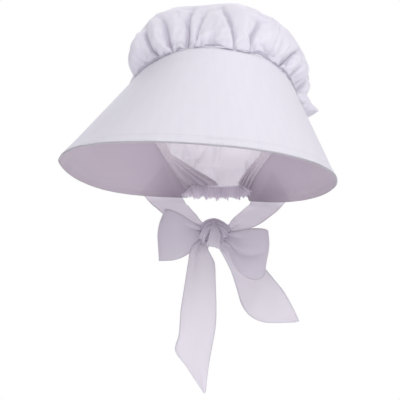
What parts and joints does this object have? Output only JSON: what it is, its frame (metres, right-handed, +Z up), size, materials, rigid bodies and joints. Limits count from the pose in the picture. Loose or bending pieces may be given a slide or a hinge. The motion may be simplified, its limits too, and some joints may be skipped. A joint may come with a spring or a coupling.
{
  "type": "maid bonnet",
  "caption": "White cloth bonnet with a wide slanted stiff brim, a gathered puffed crown and ribbon ties knotted in a bow below.",
  "frame": {"origin": "where the top of the wearer's head bears, inside the crown", "axes": "+Z up, -Y to the wearer's front where the brim's mouth is, +X to the right of somebody facing the wearer"},
  "size_m": [0.2749, 0.2791, 0.3841],
  "materials": {
    "white_cotton": "matt white cotton with a faint cool cast, crisp from starch",
    "white_ribbon": "soft thin white ribbon that lets light through, with a dull sheen"
  },
  "bodies": {
    "root": {"brim": "white_cotton", "crown": "white_cotton", "seam_band": "white_cotton", "nape_frill": "white_cotton", "tie_left": "white_ribbon", "tie_right": "white_ribbon", "bow_knot": "white_ribbon", "bow_loop_left": "white_ribbon", "bow_loop_right": "white_ribbon", "bow_tail_left": "white_ribbon", "bow_tail_right": "white_ribbon"}
  },
  "joints": []
}
